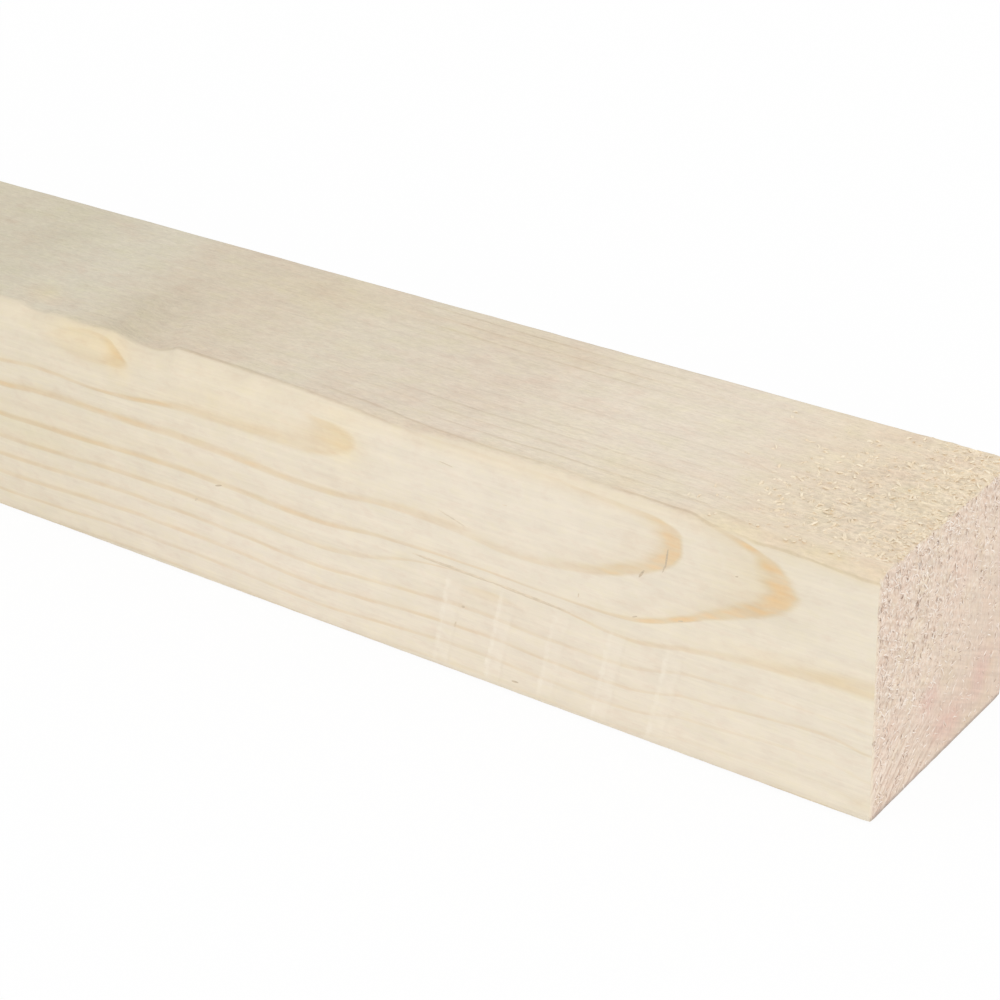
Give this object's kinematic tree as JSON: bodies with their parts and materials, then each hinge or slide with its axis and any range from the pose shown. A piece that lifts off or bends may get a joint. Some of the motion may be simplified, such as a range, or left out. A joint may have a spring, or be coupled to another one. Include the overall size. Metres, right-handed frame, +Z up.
{
  "type": "sawn softwood timber",
  "caption": "Straight rough-sawn softwood timber of square section, one arris worn round, both ends cut square, for battens, posts and framing.",
  "frame": {"origin": "middle of the bottom face that the timber lies on, half way along its length", "axes": "+X along the timber towards the near end, +Y from the front face to the back face, +Z up"},
  "size_m": [2, 0.06, 0.06],
  "materials": {
    "sawn_spruce": "bare rough-sawn whitewood, pale cream with tan growth rings, matt"
  },
  "bodies": {
    "root": {"sawn_timber": "sawn_spruce"}
  },
  "joints": []
}
